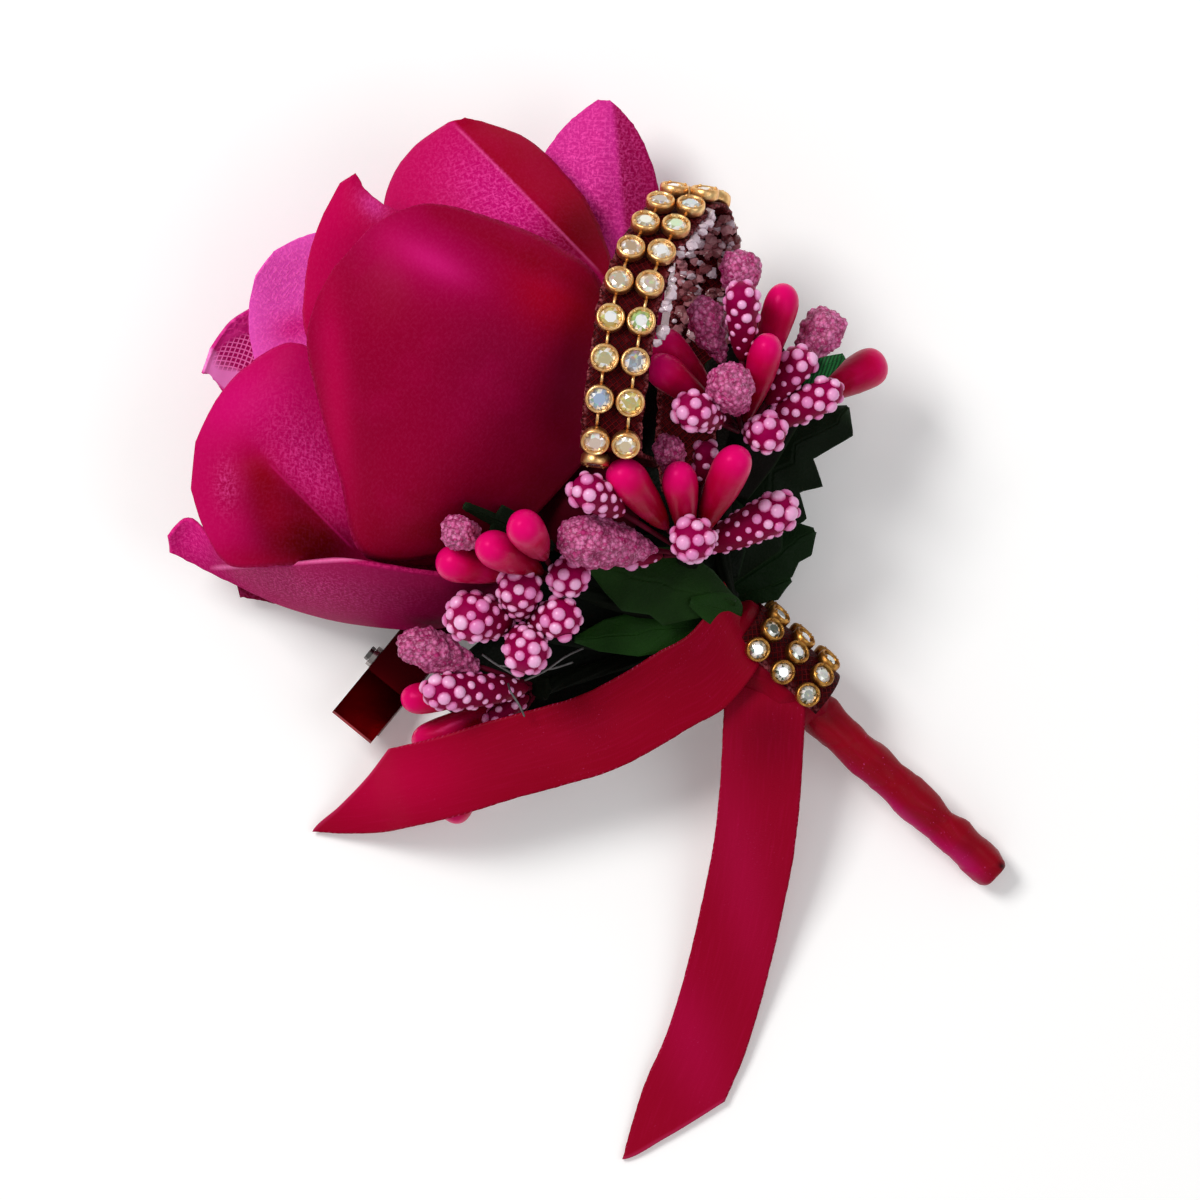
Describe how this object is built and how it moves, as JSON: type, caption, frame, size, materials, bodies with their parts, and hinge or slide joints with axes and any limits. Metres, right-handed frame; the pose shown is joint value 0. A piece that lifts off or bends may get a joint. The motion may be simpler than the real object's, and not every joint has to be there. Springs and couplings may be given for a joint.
{
  "type": "flower lapel pin",
  "caption": "Cloth rose lapel pin with berry sprays, leaves, a stone band and satin ribbon tails on a spring clip.",
  "frame": {"origin": "middle of the flat outer face of the clip's lever, the face that rests on the table", "axes": "+Z away from the table to the front of the rose, +Y towards the rose's top, +X towards the berry sprays"},
  "size_m": [0.098, 0.124, 0.0398],
  "materials": {
    "petal_cloth": "two-tone satin, crimson that turns magenta pink at an angle",
    "satin_ribbon": "crimson satin ribbon",
    "berry_gloss": "glossy lacquered berry",
    "berry_dotted": "crimson berry with raised pale pink beads",
    "berry_sugared": "frosted berry with fine grains",
    "stem_tape": "dark green stem tape over wire",
    "foam_core": "glued ball that the petals hold to",
    "leaf_cloth": "dark green woven leaf cloth",
    "band_mesh": "thin clear mesh over dark red",
    "gilt_cup": "gilt stone cup",
    "crystal": "cut stone with a rainbow coating",
    "clip_steel": "nickel-plated sheet steel",
    "spring_steel": "bright spring wire and pin",
    "glue": "hardened hot glue"
  },
  "bodies": {
    "flower": {"petal_front": "petal_cloth", "petal_pointed": "petal_cloth", "petal_top": "petal_cloth", "petal_right": "petal_cloth", "petal_round": "petal_cloth", "petal_folded": "petal_cloth", "petal_left": "petal_cloth", "petal_bottom": "petal_cloth", "petal_under": "petal_cloth", "petal_back_left": "petal_cloth", "petal_back_middle": "petal_cloth", "petal_back_right": "petal_cloth", "petal_bud_upper": "petal_cloth", "petal_bud_lower": "petal_cloth", "rose_heart": "petal_cloth", "rose_base": "foam_core", "stem_core": "stem_tape", "binding": "satin_ribbon", "wrapped_stem": "satin_ribbon", "ribbon_tail_left": "satin_ribbon", "ribbon_tail_down": "satin_ribbon", "spray_a_stem": "stem_tape", "spray_a_smooth": "berry_gloss", "spray_a_dotted": "berry_dotted", "spray_a_sugared": "berry_sugared", "spray_b_stem": "stem_tape", "spray_b_smooth": "berry_gloss", "spray_b_dotted": "berry_dotted", "spray_b_sugared": "berry_sugared", "spray_c_stem": "stem_tape", "spray_c_smooth": "berry_gloss", "spray_c_dotted": "berry_dotted", "spray_c_sugared": "berry_sugared", "spray_d_stem": "stem_tape", "spray_d_smooth": "berry_gloss", "spray_d_dotted": "berry_dotted", "spray_d_sugared": "berry_sugared", "spray_e_stem": "stem_tape", "spray_e_dotted": "berry_dotted", "leaf_right_upper": "leaf_cloth", "leaf_right_middle": "leaf_cloth", "leaf_right_lower": "leaf_cloth", "leaf_light": "leaf_cloth", "leaf_left_tip": "leaf_cloth", "leaf_under_tail": "leaf_cloth", "leaf_behind": "leaf_cloth", "leaf_small": "leaf_cloth", "band_strip": "band_mesh", "band_cups": "gilt_cup", "band_stones": "crystal", "binding_cups": "gilt_cup", "binding_stones": "crystal", "clip_strip": "clip_steel", "clip_spring": "spring_steel", "glue_pad": "glue"},
    "lever": {"clip_lever": "clip_steel", "clip_pin": "spring_steel"}
  },
  "joints": [
    {"name": "clip_hinge", "type": "hinge", "parent": "flower", "child": "lever", "pos_m": [-0.00602, -0.00735, 0.002], "axis": [-0.7738, 0.6334, 0], "range_deg": [0, 22], "stiffness_Nm_per_rad": 0.02, "springref_deg": -114.59}
  ]
}
